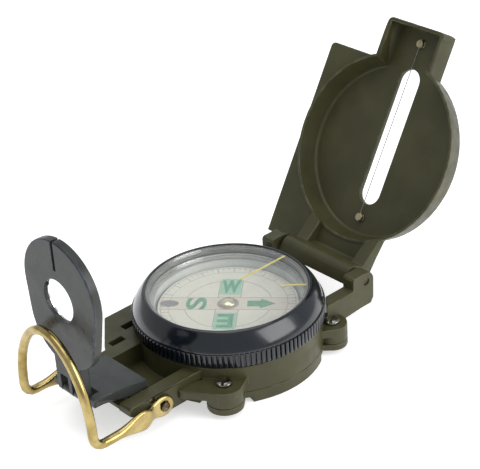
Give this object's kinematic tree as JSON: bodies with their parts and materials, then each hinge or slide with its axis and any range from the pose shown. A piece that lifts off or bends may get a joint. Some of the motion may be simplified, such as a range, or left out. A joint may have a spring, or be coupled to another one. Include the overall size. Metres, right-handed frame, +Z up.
{
  "type": "lensatic compass",
  "caption": "Folding sighting compass with a liquid dial capsule, a turning bezel, a hinged cover with a sighting wire, a folding lens bracket and a thumb loop.",
  "frame": {"origin": "on the dial's axis, in the plane of the bottom plate's underside", "axes": "+X towards the cover's hinge, +Y towards the straight edge, +Z up along the dial's axis"},
  "size_m": [0.1344, 0.052, 0.0681],
  "materials": {
    "olive_paint": "satin",
    "black_enamel": "gloss",
    "black_satin": "satin",
    "brass": "polished",
    "steel": "satin",
    "clear": "polished",
    "capsule_plastic": "satin",
    "dial_face": "matte",
    "black_rubber": "matte"
  },
  "bodies": {
    "base": {"base_housing": "olive_paint", "bottom_plate": "olive_paint", "ear_screw_near_rear": "steel", "ear_screw_near_front": "steel", "ear_screw_far_rear": "steel", "ear_screw_far_front": "steel", "capsule_bowl": "capsule_plastic", "capsule_seal": "black_rubber", "capsule_window": "clear", "pivot_pin": "steel", "bezel_retaining_ring": "steel", "hinge_pin": "steel", "lens_arm_pin": "steel", "loop_screw_near": "steel", "loop_screw_far": "steel"},
    "bezel": {"bezel_ring": "black_enamel", "bezel_glass": "clear"},
    "dial": {"dial_card": "dial_face", "dial_magnet": "steel", "jewel_cap": "brass"},
    "cover": {"cover_shell": "olive_paint", "sight_wire": "steel", "wire_anchor_lower": "olive_paint", "wire_anchor_upper": "olive_paint"},
    "lens_arm": {"lens_arm": "black_satin", "lens_plate_pin": "steel"},
    "lens_plate": {"lens_plate": "black_satin", "lens": "clear"},
    "thumb_loop": {"thumb_loop": "brass"}
  },
  "joints": [
    {"name": "cover_hinge", "type": "hinge", "parent": "base", "child": "cover", "pos_m": [0.0325, 0, 0.01345], "axis": [0, 1, 0], "range_deg": [-120.5, 59.5]},
    {"name": "lens_arm_hinge", "type": "hinge", "parent": "base", "child": "lens_arm", "pos_m": [-0.0362, 0, 0.0089], "axis": [0, -1, 0], "range_deg": [-90, 0]},
    {"name": "lens_plate_hinge", "type": "hinge", "parent": "lens_arm", "child": "lens_plate", "pos_m": [-0.04965, 0, 0.0129], "axis": [0, 1, 0], "range_deg": [0, 45]},
    {"name": "thumb_loop_hinge", "type": "hinge", "parent": "base", "child": "thumb_loop", "pos_m": [-0.0335, 0, 0.0064], "axis": [0, -1, 0], "range_deg": [-3, 90]},
    {"name": "bezel_turn", "type": "hinge", "parent": "base", "child": "bezel", "pos_m": [0, 0, 0.0155], "axis": [0, 0, 1], "continuous": true},
    {"name": "dial_turn", "type": "hinge", "parent": "base", "child": "dial", "pos_m": [0, 0, 0.013], "axis": [0, 0, 1], "continuous": true}
  ]
}
